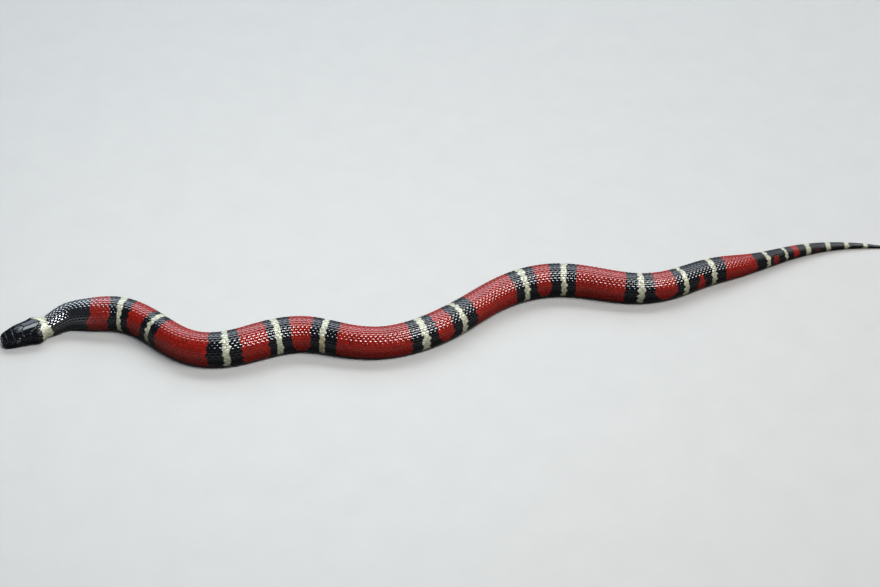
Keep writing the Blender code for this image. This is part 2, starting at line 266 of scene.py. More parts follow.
# The head plates' corners, as (distance behind the snout, way round from the crown's middle)
FRONTAL = [
    (5.72, 0.0), (5.62, 1.0), (5.50, 1.80), (6.6, 1.66), (8.0, 1.60), (9.35, 1.56), (10.1, 0.85),
    (10.85, 0.0),
]
SIDE_PLATES = [
    # internasal
    [(0.87, 0.0), (0.76, 1.35), (0.58, 2.35), (1.50, 2.86), (2.40, 2.78), (2.72, 1.45), (2.66, 0.0)],
    # prefrontal
    [(2.66, 0.0), (2.72, 1.45), (2.40, 2.78), (3.20, 3.35), (4.10, 3.85), (5.55, 4.12), (5.62, 2.9),
     (5.50, 1.80), (5.62, 1.0), (5.72, 0.0)],
    # supraocular
    [(5.50, 1.80), (5.62, 2.9), (5.55, 4.12), (6.05, 4.64), (6.9, 4.84), (7.8, 4.94), (8.6, 4.94),
     (9.45, 4.55), (9.60, 3.1), (9.35, 1.56), (8.0, 1.60), (6.6, 1.66)],
    # parietal
    [(10.85, 0.0), (10.1, 0.85), (9.35, 1.56), (9.60, 3.1), (9.45, 4.55), (10.9, 4.95), (12.5, 4.75),
     (14.2, 3.95), (15.7, 2.85), (17.0, 1.45), (17.35, 0.75), (17.0, 0.0)],
    # nasal plates round the nostril
    [(0.58, 2.35), (1.50, 2.86), (1.54, 3.50), (1.34, 3.58), (1.24, 3.86), (1.34, 4.13), (1.54, 4.22),
     (1.56, 4.66), (0.52, 3.55)],
    [(1.50, 2.86), (2.40, 2.78), (2.90, 3.12), (2.82, 5.00), (1.56, 4.66), (1.54, 4.22), (1.76, 4.13),
     (1.87, 3.86), (1.76, 3.58), (1.54, 3.50)],
    # loreal
    [(2.90, 3.12), (4.10, 3.85), (4.30, 4.72), (4.15, 5.66), (2.82, 5.00)],
    # preocular
    [(4.10, 3.85), (5.55, 4.12), (6.05, 4.64), (5.90, 5.16), (5.70, 5.78), (5.76, 6.38), (5.98, 6.84),
     (4.95, 6.40), (4.15, 5.66), (4.30, 4.72)],
    # postoculars
    [(7.8, 4.94), (8.6, 4.94), (9.45, 4.55), (10.0, 5.0), (9.95, 5.93), (8.32, 6.08), (8.24, 5.50),
     (7.98, 5.12)],
    [(8.32, 6.08), (9.95, 5.93), (9.80, 7.13), (8.35, 7.13), (7.95, 7.06), (8.22, 6.60)],
    # temporals
    [(9.45, 4.55), (10.9, 4.95), (12.5, 4.75), (12.75, 5.40), (12.60, 6.20), (9.95, 5.93), (10.0, 5.0)],
    [(9.95, 5.93), (12.60, 6.20), (12.75, 6.95), (12.35, 7.75), (9.80, 7.13)],
    [(12.5, 4.75), (14.2, 3.95), (15.1, 3.35), (15.9, 4.4), (15.4, 5.40), (12.75, 5.40)],
    [(12.75, 5.40), (15.4, 5.40), (16.0, 6.3), (15.4, 7.05), (12.75, 6.95), (12.60, 6.20)],
    [(12.75, 6.95), (15.4, 7.05), (15.9, 8.0), (15.2, 8.85), (12.35, 7.75)],
    # upper lip plates
    [(0.52, 3.55), (1.56, 4.66), (1.95, UPPER), (0.62, UPPER)],
    [(1.56, 4.66), (2.82, 5.00), (3.30, 5.30), (3.60, UPPER), (1.95, UPPER)],
    [(3.30, 5.30), (4.15, 5.66), (4.95, 6.40), (5.40, UPPER), (3.60, UPPER)],
    [(4.95, 6.40), (5.98, 6.84), (6.50, 7.16), (7.0, 7.24), (7.10, UPPER), (5.40, UPPER)],
    [(7.0, 7.24), (7.50, 7.16), (7.95, 7.06), (8.35, 7.13), (9.80, 7.13), (9.60, UPPER), (7.10, UPPER)],
    [(9.80, 7.13), (12.35, 7.75), (12.50, UPPER), (9.60, UPPER)],
    [(12.35, 7.75), (15.2, 8.85), (16.6, 9.5), (16.2, UPPER), (12.50, UPPER)],
]

# Chin plates, as (distance behind the snout, way round from the belly's middle)
CHIN_PLATES = [
    # lower lip plates
    [(1.25, 0.0), (1.00, 1.25), (0.72, LOWER), (1.95, LOWER), (2.20, 3.40), (1.90, 1.60), (2.10, 0.0)],
    [(1.95, LOWER), (3.20, LOWER), (3.30, 3.75), (2.20, 3.40)],
    [(3.20, LOWER), (4.70, LOWER), (4.75, 3.90), (3.30, 3.75)],
    [(4.70, LOWER), (6.40, LOWER), (6.50, 4.05), (4.75, 3.90)],
    [(6.40, LOWER), (8.40, LOWER), (8.50, 4.20), (6.50, 4.05)],
    [(8.40, LOWER), (10.5, LOWER), (10.6, 4.70), (8.50, 4.20)],
    [(10.5, LOWER), (12.7, LOWER), (12.8, 5.30), (10.6, 4.70)],
    [(12.7, LOWER), (15.2, LOWER), (15.0, 6.05), (12.8, 5.30)],
    # chin shields
    [(2.10, 0.0), (1.90, 1.60), (2.20, 3.40), (3.30, 3.70), (4.75, 3.45), (5.90, 2.40), (6.35, 1.20),
     (6.20, 0.0)],
    [(6.30, 0.25), (6.45, 1.30), (6.10, 2.50), (7.60, 2.70), (9.40, 2.00), (10.1, 1.20), (9.20, 0.70)],
]

# Plates at the snout's tip, as (degrees round from the top, reach from the tip): the rostral and the mental
SNOUT_PLATES = [
    [(0, 2.84), (15, 2.80), (32, 2.68), (52, 2.46), (75, 2.38), (92, 2.36), (103, 2.30), (118, 1.52),
     (140, 1.05), (180, 0.84)],
    [(180, 1.14), (150, 1.32), (133, 1.66), (115, 2.62), (135, 2.85), (157, 3.02), (180, 3.22)],
]


class SmoothCurve:
    """A cubic spline through values at rising distances, with its start slope held if given."""

    def __init__(self, distances, values, start_slope=None):
        self.t = np.array(distances, float)
        self.values = np.array(values, float).reshape(len(distances), -1)
        count = len(self.t)
        step = np.diff(self.t)
        slope = np.diff(self.values, axis=0) / step[:, None]
        matrix = np.zeros((count, count))
        right = np.zeros_like(self.values)
        matrix[0, 0] = matrix[-1, -1] = 1.0
        if start_slope is not None:
            matrix[0, :2] = 2.0 * step[0], step[0]
            right[0] = 6.0 * (slope[0] - np.array(start_slope))
        for i in range(1, count - 1):
            matrix[i, i - 1:i + 2] = step[i - 1], 2.0 * (step[i - 1] + step[i]), step[i]
            right[i] = 6.0 * (slope[i] - slope[i - 1])
        self.bend = np.linalg.solve(matrix, right)

    def at(self, where):
        where = np.atleast_1d(np.asarray(where, float))
        i = np.clip(np.searchsorted(self.t, where) - 1, 0, len(self.t) - 2)
        step = (self.t[i + 1] - self.t[i])[:, None]
        before = (where - self.t[i])[:, None]
        after = (self.t[i + 1] - where)[:, None]
        cubic = (self.bend[i] * after ** 3 + self.bend[i + 1] * before ** 3) / (6.0 * step)
        start = (self.values[i] / step - self.bend[i] * step / 6.0) * after
        end = (self.values[i + 1] / step - self.bend[i + 1] * step / 6.0) * before
        return cubic + start + end


def smooth_bump(distance, reach):
    return np.exp(-(distance / reach) ** 2)


def ramp(value, start, over):
    """0 up to the start, then evenly up to 1 over a length."""
    return np.clip((value - start) / over, 0.0, 1.0)


def read_off(table, where):
    """A table of pairs read at a place, in straight lines from row to row."""
    return np.interp(where, *zip(*table))


class Hide:
    """The snake's outer surface, read by the way along it and the way round from the back.

    The way along starts at the snout tip and follows the surface of the snout, then the head's
    axis and the spine. The way round is the arc from the midline of the back, positive to the
    animal's right.
    """

    SNOUT_STEP = 0.04
    HEAD_STEP = 0.1
    BODY_STEP = 0.2
    FINE_TO = 3.0
    TIP_LENGTH = 1.0
    TIP_STEPS = 16
    AROUND = 181
    OUTLINE_STEPS = 361
    PLAN_STEPS = 6000
    HEADING_STEP = 0.5
    NORMAL_STEP = 0.12

    def __init__(self):
        self.lay_spine()
        self.lay_sections()
        self.eye_arc = self.arc_at_height(self.along_of(EYE_BEHIND_SNOUT), EYE_HEIGHT)

    def lay_spine(self):
        turn = math.radians(HEAD_TURN_DEG)
        self.heading = np.array((math.cos(turn), math.sin(turn)))
        self.snout = np.array(SNOUT_TIP)
        nape = self.snout + HEAD_LENGTH * self.heading
        points = np.vstack([nape, SPINE_ROUTE])
        chords = np.linalg.norm(np.diff(points, axis=0), axis=1)
        knots = np.concatenate([[0.0], np.cumsum(chords)])
        curve = SmoothCurve(knots, points, self.heading)
        self.plan = curve.at(np.linspace(0.0, knots[-1], self.PLAN_STEPS))
        steps = np.linalg.norm(np.diff(self.plan, axis=0), axis=1)
        self.distance = np.concatenate([[0.0], np.cumsum(steps)])
        self.length = self.distance[-1]

    def lay_sections(self):
        stations = np.array(HEAD_STATIONS)
        meridian = np.linalg.norm(np.diff(stations[:, :2], axis=0), axis=1)
        knots = np.concatenate([[0.0], np.cumsum(meridian)])
        self.nape = knots[-1]
        self.end = self.nape + self.length
        head = SmoothCurve(knots, stations)
        stretch = self.length / GIRTH[-1][0]
        girth = SmoothCurve([d * stretch for d, _ in GIRTH], [w for _, w in GIRTH])
        self.along = np.concatenate([
            np.arange(0.0, self.FINE_TO, self.SNOUT_STEP),
            np.arange(self.FINE_TO, self.nape, self.HEAD_STEP),
            np.arange(self.nape, self.end - self.TIP_LENGTH, self.BODY_STEP),
            np.linspace(self.end - self.TIP_LENGTH, self.end, self.TIP_STEPS),
        ])
        on_head = self.along < self.nape
        behind = self.along - self.nape
        shape = np.zeros((len(self.along), 4))
        shape[on_head] = head.at(self.along[on_head])
        half_width = girth.at(behind[~on_head])[:, 0]
        left = ramp(self.end - self.along[~on_head], 0.0, TAIL_ROUND)
        half_width = half_width * np.sqrt(1.0 - (1.0 - left) ** 2)
        shape[~on_head, 0] = HEAD_LENGTH + behind[~on_head]
        shape[~on_head, 1] = half_width
        shape[~on_head, 3] = HEIGHT_TO_HALF_WIDTH * half_width
        self.behind_snout = shape[:, 0]
        self.half_width = np.maximum(shape[:, 1], 1e-4)
        place = np.clip(self.behind_snout - HEAD_LENGTH, 0.0, None)
        forward = np.minimum(self.behind_snout, HEAD_LENGTH)
        axis = self.snout + forward[:, None] * self.heading
        self.centre = np.where((self.behind_snout > HEAD_LENGTH)[:, None], self.on_plan(place), axis)
        step = self.HEADING_STEP
        onward = self.on_plan(place + step) - self.on_plan(place - step)
        way = np.where((place > step)[:, None], onward, self.heading)
        way /= np.linalg.norm(way, axis=1)[:, None]
        self.side = np.stack([-way[:, 1], way[:, 0]], 1)
        self.outline_sections(shape)

    def on_plan(self, behind_nape):
        """The spine's places on the floor."""
        return np.stack([np.interp(behind_nape, self.distance, self.plan[:, k]) for k in (0, 1)], 1)

    def outline_sections(self, shape):
        """Half outlines from the back to the belly, evenly spaced by arc."""
        back = np.clip(shape[:, 0] / HEAD_LENGTH, 0.0, 1.0)
        power = CROWN_SQUARENESS + (2.0 - CROWN_SQUARENESS) * back ** 2
        widest = CHEEK_WIDEST_AT + (WIDEST_AT - CHEEK_WIDEST_AT) * back
        low = np.maximum(shape[:, 2], 0.0)
        high = shape[:, 3]
        middle = low + widest * (high - low)
        angle = np.linspace(0.5 * math.pi, -0.5 * math.pi, self.OUTLINE_STEPS)
        across = np.abs(np.cos(angle))
        rise = np.abs(np.sin(angle))
        upper = angle >= 0.0
        power = np.where(upper, power[:, None], BELLY_SQUARENESS)
        v = self.half_width[:, None] * across ** (2.0 / power)
        lift = rise ** (2.0 / power)
        above = middle[:, None] + (high - middle)[:, None] * lift
        below = middle[:, None] - ((middle - low) / BELLY_SINK)[:, None] * lift
        z = np.where(upper, above, np.maximum(below, low[:, None]))
        v = v + self.face_swell(shape[:, 0], v, z)
        arc = np.cumsum(np.hypot(np.diff(v, axis=1), np.diff(z, axis=1)), axis=1)
        arc = np.hstack([np.zeros((len(arc), 1)), arc])
        self.half_arc = arc[:, -1]
        share = np.linspace(0.0, 1.0, self.AROUND)
        self.v = np.array([np.interp(share * a[-1], a, row) for a, row in zip(arc, v)])
        self.z = np.array([np.interp(share * a[-1], a, row) for a, row in zip(arc, z)])

    def face_swell(self, behind, v, z):
        """Lips, mouth line, brow and cheek, as a change of the half width."""
        behind = behind[:, None]
        mouth = read_off(MOUTH_LINE, behind)
        fade = ramp(MOUTH_END - behind, 0.0, MOUTH_FADE)
        groove = -MOUTH_DEPTH * fade * smooth_bump(z - mouth, MOUTH_HALF_HEIGHT)
        lip = LIP_SWELL * fade * smooth_bump(z - mouth, LIP_REACH)
        above_eye = z - EYE_HEIGHT - BROW_ABOVE_EYE
        over_eye = np.hypot((behind - EYE_BEHIND_SNOUT) / BROW_REACH[0], above_eye / BROW_REACH[1])
        brow = BROW_SWELL * smooth_bump(over_eye, 1.0)
        temple = np.hypot((behind - CHEEK_PLACE[0]) / CHEEK_REACH[0], (z - CHEEK_PLACE[1]) / CHEEK_REACH[1])
        cheek = CHEEK_SWELL * smooth_bump(temple, 1.0)
        width = self.half_width[:, None]
        flank = ramp(v, 0.45 * width, 0.3 * width)
        return flank * (groove + lip + brow + cheek) * (behind < HEAD_LENGTH)

    def half(self, along):
        return np.interp(along, self.along, self.half_arc)

    def behind_nape(self, along):
        return np.interp(along, self.along, self.behind_snout) - HEAD_LENGTH

    def along_of(self, behind):
        return float(np.interp(behind, self.behind_snout, self.along))

    def arc_at_height(self, along, height):
        """The way round, on the flank, to a height above the floor."""
        row = np.searchsorted(self.along, along) - 1
        share = np.interp(-height, -self.z[row], np.linspace(0.0, 1.0, self.AROUND))
        return float(share * self.half_arc[row])

    def read(self, along, arc):
        """Points on the surface, in millimetres."""
        along = np.clip(along, 0.0, self.end)
        half = self.half(along)
        arc = np.where(arc > half, arc - 2.0 * half, arc)
        arc = np.where(arc < -half, arc + 2.0 * half, arc)
        row = np.clip(np.searchsorted(self.along, along) - 1, 0, len(self.along) - 2)
        f = ((along - self.along[row]) / (self.along[row + 1] - self.along[row]))[:, None]
        column = np.clip(np.abs(arc) / np.maximum(half, 1e-6), 0.0, 1.0) * (self.AROUND - 1)
        low = np.clip(column.astype(int), 0, self.AROUND - 2)
        g = column - low
        v = np.zeros_like(g)
        z = np.zeros_like(g)
        for near, weight in ((row, 1.0 - f[:, 0]), (row + 1, f[:, 0])):
            v += weight * (self.v[near, low] * (1.0 - g) + self.v[near, low + 1] * g)
            z += weight * (self.z[near, low] * (1.0 - g) + self.z[near, low + 1] * g)
        centre = self.centre[row] * (1.0 - f) + self.centre[row + 1] * f
        side = self.side[row] * (1.0 - f) + self.side[row + 1] * f
        flat = centre + side * (np.sign(arc) * v)[:, None]
        return np.column_stack([flat, z])

    def place(self, along, arc, height):
        """Points in metres, lifted off the surface by a height in millimetres."""
        step = self.NORMAL_STEP
        base = self.read(along, arc)
        lengthwise = self.read(along + step, arc) - self.read(along - step, arc)
        half = self.half(along)
        reach = np.clip(arc, -half + step, half - step)
        across = self.read(along, reach + step) - self.read(along, reach - step)
        normal = np.cross(lengthwise, across)
        size = np.linalg.norm(normal, axis=1)[:, None]
        normal = normal / np.maximum(size, 1e-9)
        return (base + normal * np.asarray(height)[:, None]) * MM


def deselect():
    for thing in bpy.context.selected_objects:
        thing.select_set(False)


def face_outwards(thing, merge=None):
    """Turns all faces outwards, after its doubled points are merged if a distance is given."""
    deselect()
    bpy.context.view_layer.objects.active = thing
    thing.select_set(True)
    bpy.ops.object.mode_set(mode="EDIT")
    bpy.ops.mesh.select_all(action="SELECT")
    if merge:
        bpy.ops.mesh.remove_doubles(threshold=merge)
    bpy.ops.mesh.normals_make_consistent(inside=False)
    bpy.ops.object.mode_set(mode="OBJECT")


def mesh_piece(name, points, faces, material):
    """One smooth object from its points and faces."""
    mesh = bpy.data.meshes.new(name)
    mesh.vertices.add(len(points))
    mesh.vertices.foreach_set("co", np.asarray(points, float).ravel())
    sizes = np.array([len(face) for face in faces])
    loops = np.concatenate(faces)
    mesh.loops.add(len(loops))
    mesh.loops.foreach_set("vertex_index", loops)
    mesh.polygons.add(len(sizes))
    mesh.polygons.foreach_set("loop_start", np.concatenate([[0], np.cumsum(sizes)[:-1]]))
    mesh.polygons.foreach_set("loop_total", sizes)
    mesh.update(calc_edges=True)
    mesh.materials.append(material)
    mesh.shade_smooth()
    thing = bpy.data.objects.new(name, mesh)
    bpy.context.scene.collection.objects.link(thing)
    return thing


def paint(thing, name, values):
    layer = thing.data.attributes.new(name, "FLOAT_COLOR", "POINT")
    rgba = np.ones((len(values), 4))
    rgba[:, :3] = values
    layer.data.foreach_set("color", rgba.ravel())


def lay_values(thing, name, values):
    layer = thing.data.attributes.new(name, "FLOAT", "POINT")
    layer.data.foreach_set("value", values)


def lay_uv(thing, uv):
    """One place on the unwrap for each point, given to all the corners that use it."""
    layer = thing.data.uv_layers.new(name="OFBake")
    index = np.empty(len(thing.data.loops), int)
    thing.data.loops.foreach_get("vertex_index", index)
    layer.data.foreach_set("uv", uv[index].ravel())


def dress(piece, tone, rim, shine, uv):
    """What the scale material reads on a piece of the coat, and its unwrap."""
    paint(piece, "marking_and_painted_shade", tone)
    lay_values(piece, "rim", rim)
    lay_values(piece, "gloss", shine)
    lay_uv(piece, np.clip(uv, 0.0, 1.0))


# Markings with painted shade low on the sides, and gloss
def marking_and_painted_shade(behind_nape, share):
    """The colour at a distance behind the nape and a share of the way round: right +, left -, belly 1. It is
    the pattern, with painted shade darkening it low on the sides.
    """
    around = np.abs(share)
    colour = np.tile(np.array(RED), (len(behind_nape), 1))
    low_down = ramp(around, *LOW_DOWN)
    belly = ramp(around, *BELLY_SIDE)
    lean = np.sin(math.pi * share)
    red_from = [(NAPE_BLACK_TO, 0.0)] + [(ring[3], ring[4]) for ring in RINGS]
    red_to = [(ring[0], ring[4]) for ring in RINGS]
    black = np.ones(len(behind_nape), bool)
    for (start, start_lean), (stop, stop_lean) in zip(red_from, red_to):
        width = stop - start
        if start == NAPE_BLACK_TO:
            closing = read_off(NAPE_BLACK_BACK, around) + 0.5 * belly
        elif width < SHORT_RED:
            closing = SHORT_RED_CLOSING * width * low_down ** SHORT_RED_CURVE
        else:
            closing = LONG_RED_CLOSING * belly
        after = behind_nape > start + closing - start_lean * lean
        before = behind_nape < stop - np.abs(closing) - stop_lean * lean
        black &= ~(after & before)
    colour[black] = BLACK
    for _, cream_from, cream_to, _, ring_lean in RINGS:
        place = behind_nape + ring_lean * lean
        colour[(place > cream_from + CREAM_INSET) & (place < cream_to - CREAM_INSET)] = CREAM
    for low, high, start, stop, tone in PATCHES:
        inside = (around > low) & (around < high) & (behind_nape > start) & (behind_nape < stop)
        colour[inside] = tone
    colour[behind_nape < read_off(COLLAR_BACK, share)] = CREAM
    colour[behind_nape < read_off(COLLAR_FRONT, share) - HEAD_LENGTH] = BLACK
    # Painted shade: the colours are darkened low on the sides, and a little on the belly.
    return colour * read_off(LOW_PAINTED_SHADE, around)[:, None]


def gloss(behind_nape, share):
    """The clear coat's weight at the same place."""
    worn = 1.0 - (1.0 - LOW_GLOSS) * ramp(np.abs(share), *WORN_SIDE)
    return worn * read_off(GLOSS_ALONG, behind_nape)


# Shader maths
class Socket:
    """A node's output, with maths written as Python operators."""

    def __init__(self, paper, link):
        self.paper = paper
        self.link = link

    def math(self, operation, other, swapped=False):
        first, second = (other, self) if swapped else (self, other)
        return self.paper.node("ShaderNodeMath", {"operation": operation}, {0: first, 1: second})

    def __add__(self, other):
        return self.math("ADD", other)

    def __radd__(self, other):
        return self.math("ADD", other, True)

    def __sub__(self, other):
        return self.math("SUBTRACT", other)

    def __rsub__(self, other):
        return self.math("SUBTRACT", other, True)

    def __mul__(self, other):
        return self.math("MULTIPLY", other)

    def __rmul__(self, other):
        return self.math("MULTIPLY", other, True)

    def __pow__(self, other):
        return self.math("POWER", other)


class Paper:
    """A material being written: its nodes and its shader."""

    def __init__(self, name):
        self.material = bpy.data.materials.new(name)
        self.material.use_nodes = True
        self.tree = self.material.node_tree
        self.shader = self.tree.nodes["Principled BSDF"]

    def node(self, kind, settings, sockets, output=0):
        made = self.tree.nodes.new(kind)
        for key, value in settings.items():
            setattr(made, key, value)
        for key, value in sockets.items():
            self.feed(made.inputs[key], value)
        return Socket(self, made.outputs[output])

    def feed(self, socket, value):
        if isinstance(value, Socket):
            self.tree.links.new(value.link, socket)
        elif isinstance(value, tuple) and len(value) == 3 and socket.type == "RGBA":
            socket.default_value = (*value, 1.0)
        else:
            socket.default_value = value

    def mix(self, factor, first, second, blend="MIX"):
        settings = {"data_type": "RGBA", "blend_type": blend}
        return self.node("ShaderNodeMix", settings, {0: factor, 6: first, 7: second}, 2)

    def grey(self, value):
        return self.node("ShaderNodeCombineColor", {}, {0: value, 1: value, 2: value})

    def noise(self, scale, detail=3.0):
        vector = self.node("ShaderNodeTexCoord", {}, {}, "Object")
        return self.node("ShaderNodeTexNoise", {}, {"Scale": scale, "Detail": detail, "Vector": vector})

    def attribute(self, name, output="Color"):
        return self.node("ShaderNodeAttribute", {"attribute_name": name}, {}, output)

    def bump(self, height, strength, distance):
        sockets = {"Strength": strength, "Distance": distance, "Height": height}
        return self.node("ShaderNodeBump", {}, sockets)

    def surface(self, **sockets):
        for key, value in sockets.items():
            self.feed(self.shader.inputs[key.replace("_", " ")], value)


def scale_material():
    """Smooth, dry scales: their marking with its painted shade low on the sides, a darker seam, fine
    mottling and a soft gloss.
    """
    paper = Paper("snake_scales")
    rim = paper.attribute("rim", "Fac")
    mottle = paper.noise(2600.0)
    shade = 1.0 - 0.70 * rim ** 4.0 + 0.30 * (mottle - 0.5)
    # The marking carries painted shade low on the sides.
    colour = paper.mix(1.0, paper.attribute("marking_and_painted_shade"), paper.grey(shade), "MULTIPLY")
    fine = paper.noise(9000.0, 2.0)
    rough = 0.30 + 0.12 * (fine - 0.5) + 0.15 * rim ** 3.0
    paper.surface(Base_Color=colour, Roughness=rough, Normal=paper.bump(fine, 0.05, 0.00004))
    paper.surface(Coat_Weight=paper.attribute("gloss", "Fac"))
    paper.surface(Specular_IOR_Level=0.03, Coat_Roughness=0.11, Coat_IOR=2.2)
    return paper.material


def skin_material():
    """The soft skin between the scales, darker than they are."""
    paper = Paper("snake_skin")
    # The marking carries painted shade low on the sides.
    colour = paper.mix(1.0, paper.attribute("marking_and_painted_shade"), (0.42, 0.42, 0.42), "MULTIPLY")
    wrinkle = paper.noise(5200.0)
    rough = 0.55 + 0.2 * wrinkle
    paper.surface(Base_Color=colour, Roughness=rough, Normal=paper.bump(wrinkle, 0.4, 0.0001))
    return paper.material


def eye_material():
    """A dark eye under its clear, fixed spectacle."""
    paper = Paper("snake_eye")
    fleck = paper.noise(9000.0, 4.0)
    shade = 0.75 + 0.5 * fleck
    colour = paper.mix(1.0, paper.attribute("iris"), paper.grey(shade), "MULTIPLY")
    rough = 0.06 + 0.03 * fleck
    paper.surface(Base_Color=colour, Roughness=rough)
    paper.surface(Coat_Weight=1.0, Coat_Roughness=0.02)
    return paper.material


# The skin
def skin_depth(hide, along, arc):
    """How far the skin lies inside the scales' tops: thinner at its ends, sunk in the nostrils and chin."""
    around = np.abs(arc)
    snout_end = np.clip(along / SNOUT_THIN[0], SNOUT_THIN[1], 1.0)
    tail_end = np.clip((hide.end - along) / TAIL_THIN[0], TAIL_THIN[1], 1.0)
    depth = COAT_DEPTH * np.minimum(snout_end, tail_end)
    nostril = np.hypot(along - hide.along_of(NOSTRIL_PLACE[0]), around - NOSTRIL_PLACE[1])
    depth = depth + NOSTRIL[0] * smooth_bump(nostril, NOSTRIL[1])
    eye = np.hypot(along - hide.along_of(EYE_BEHIND_SNOUT), around - hide.eye_arc)
    depth = depth + EYE_SEAT[0] * ramp(EYE_SEAT[1] - eye, 0.0, 0.3)
    groove = smooth_bump(hide.half(along) - around, CHIN_GROOVE[1])
    starts = ramp(along, *CHIN_GROOVE_START)
    fades = ramp(hide.along_of(CHIN_GROOVE_TO) - along, 0.0, CHIN_GROOVE_FADE)
    return depth + CHIN_GROOVE[0] * groove * (starts * fades)


def build_skin(hide, material):
    """A flat sheet of skin rolled round the body, closed along the belly and at both ends."""
    head_rings = np.linspace(0.0, hide.nape, HEAD_RINGS)
    body_rings = np.linspace(hide.nape, hide.end - TIP_RINGS_FROM, BODY_RINGS)[1:]
    rings = np.concatenate([head_rings, body_rings, hide.end - np.array(TIP_RINGS)])
    deselect()
    bpy.ops.mesh.primitive_grid_add(x_subdivisions=SKIN_SIDES, y_subdivisions=len(rings) - 1, size=2.0)
    skin = bpy.context.object
    skin.name = "skin"
    mesh = skin.data
    sheet = np.empty(len(mesh.vertices) * 3)
    mesh.vertices.foreach_get("co", sheet)
    sheet = sheet.reshape(-1, 3)
    row = np.rint((sheet[:, 1] + 1.0) / 2.0 * (len(rings) - 1)).astype(int)
    along = rings[row]
    arc = sheet[:, 0] * hide.half(along)
    points = hide.place(along, arc, -skin_depth(hide, along, arc)).reshape(len(rings), SKIN_SIDES + 1, 3)
    points[:, 0] = points[:, -1] = 0.5 * (points[:, 0] + points[:, -1])
    points[0] = points[0].mean(axis=0)
    points[-1] = points[-1].mean(axis=0)
    mesh.vertices.foreach_set("co", points.ravel())
    paint(skin, "marking_and_painted_shade", marking_and_painted_shade(hide.behind_nape(along), sheet[:, 0]))
    unwrap_in_strips(mesh, sheet, row, len(rings) - 1)
    face_outwards(skin, MERGE_METRES)
    mesh.materials.append(material)
    mesh.shade_smooth()
    return skin


def unwrap_in_strips(mesh, sheet, row, rows, strips=3):
    """The skin's own unwrap, cut into strips of the body laid side by side."""
    layer = mesh.uv_layers[0]
    layer.name = "OFBake"
    index = np.empty(len(mesh.loops), int)
    mesh.loops.foreach_get("vertex_index", index)
    face_rows = row[index].reshape(-1, 4)
    per_strip = rows / strips
    strip = np.clip((face_rows.min(axis=1) // per_strip).astype(int), 0, strips - 1)
    strip = np.repeat(strip, 4)
    inner = 1.0 - 2.0 * STRIP_MARGIN
    u = (strip + STRIP_MARGIN + inner * (sheet[index, 0] + 1.0) / 2.0) / strips
    v = np.clip(row[index] / per_strip - strip, 0.0, 1.0)
    layer.data.foreach_set("uv", np.column_stack([u, v]).ravel())


# Head plates
def smooth_outline(corners, spacing=0.16):
    """A closed outline through the corners, evenly divided, with its corners slightly rounded."""
    corners = np.array(corners, float)
    divided = []
    for start, stop in zip(corners, np.roll(corners, -1, axis=0)):
        count = max(1, int(round(np.linalg.norm(stop - start) / spacing)))
        divided.append(start + (stop - start) * (np.arange(count) / count)[:, None])
    outline = np.vstack(divided)
    for _ in range(3):
        outline = 0.5 * outline + 0.25 * (np.roll(outline, 1, axis=0) + np.roll(outline, -1, axis=0))
    return outline


def distance_to(outline, points):
    """Each point's distance to a closed outline."""
    start = outline[None, :, :]
    way = np.roll(outline, -1, axis=0)[None, :, :] - start
    apart = points[:, None, :] - start
    share = (apart * way).sum(axis=2) / np.maximum((way ** 2).sum(axis=2), 1e-12)
    nearest = apart - np.clip(share, 0.0, 1.0)[:, :, None] * way
    return np.sqrt((nearest ** 2).sum(axis=2)).min(axis=1)


def is_inside(outline, points):
    """Whether each point lies inside a closed outline."""
    after = np.roll(outline, -1, axis=0)
    x = points[:, 0][:, None]
    y = points[:, 1][:, None]
    crosses = (outline[:, 1] > y) != (after[:, 1] > y)
    rise = after[:, 1] - outline[:, 1]
    slope = (after[:, 0] - outline[:, 0]) / np.where(rise == 0.0, 1e-9, rise)
    left = x < outline[:, 0] + (y - outline[:, 1]) * slope
    return (crosses & left).sum(axis=1) % 2 == 1


def inward(outline, distance):
    """The outline drawn in by a distance."""
    after = np.roll(outline, -1, axis=0)
    way = after - np.roll(outline, 1, axis=0)
    way /= np.maximum(np.linalg.norm(way, axis=1), 1e-9)[:, None]
    area = np.sum(outline[:, 0] * after[:, 1] - after[:, 0] * outline[:, 1])
    normal = np.column_stack([-way[:, 1], way[:, 0]]) * np.sign(area)
    return outline + normal * distance


def joined_by_edges(faces):
    """The largest part that hangs together by its edges, without bits that touch it at a corner only."""
    parts = []
    for face in faces:
        edges = {frozenset(pair) for pair in zip(face, face[1:] + face[:1])}
        members = [face]
        for part in [part for part in parts if part[0] & edges]:
            edges |= part[0]
            members += part[1]
            parts.remove(part)
        parts.append((edges, members))
    return np.array(max(parts, key=lambda part: len(part[1]))[1])


def plate_mesh(corners):
    """A plate's flat plan: its rim, rings inside it and points across it, in triangles."""
    rim = inward(smooth_outline(corners), PLATE_SEAM)
    loops = [rim]
    for distance in PLATE_RINGS:
        ring = inward(rim, distance)
        apart = distance_to(rim, ring)
        ring = ring[(apart > RING_KEPT_FROM * distance) & is_inside(rim, ring)]
        loops.append(ring)
    low = rim.min(axis=0)
    high = rim.max(axis=0)
    across = [np.arange(low[k], high[k], PLATE_GRID) for k in (0, 1)]
    grid = np.stack(np.meshgrid(*across), axis=-1).reshape(-1, 2)
    grid = grid[is_inside(rim, grid)]
    if len(grid):
        grid = grid[distance_to(rim, grid) > PLATE_GRID_INSET]
    points = np.vstack(loops + [grid])
    edges = [(i, (i + 1) % len(rim)) for i in range(len(rim))]
    out = delaunay_2d_cdt([Vector(p) for p in points], edges, [], 1, 1e-6)
    flat = np.array([p[:] for p in out[0]])
    faces = joined_by_edges([list(face) for face in out[2] if len(face) == 3])
    return flat, faces, distance_to(rim, flat)


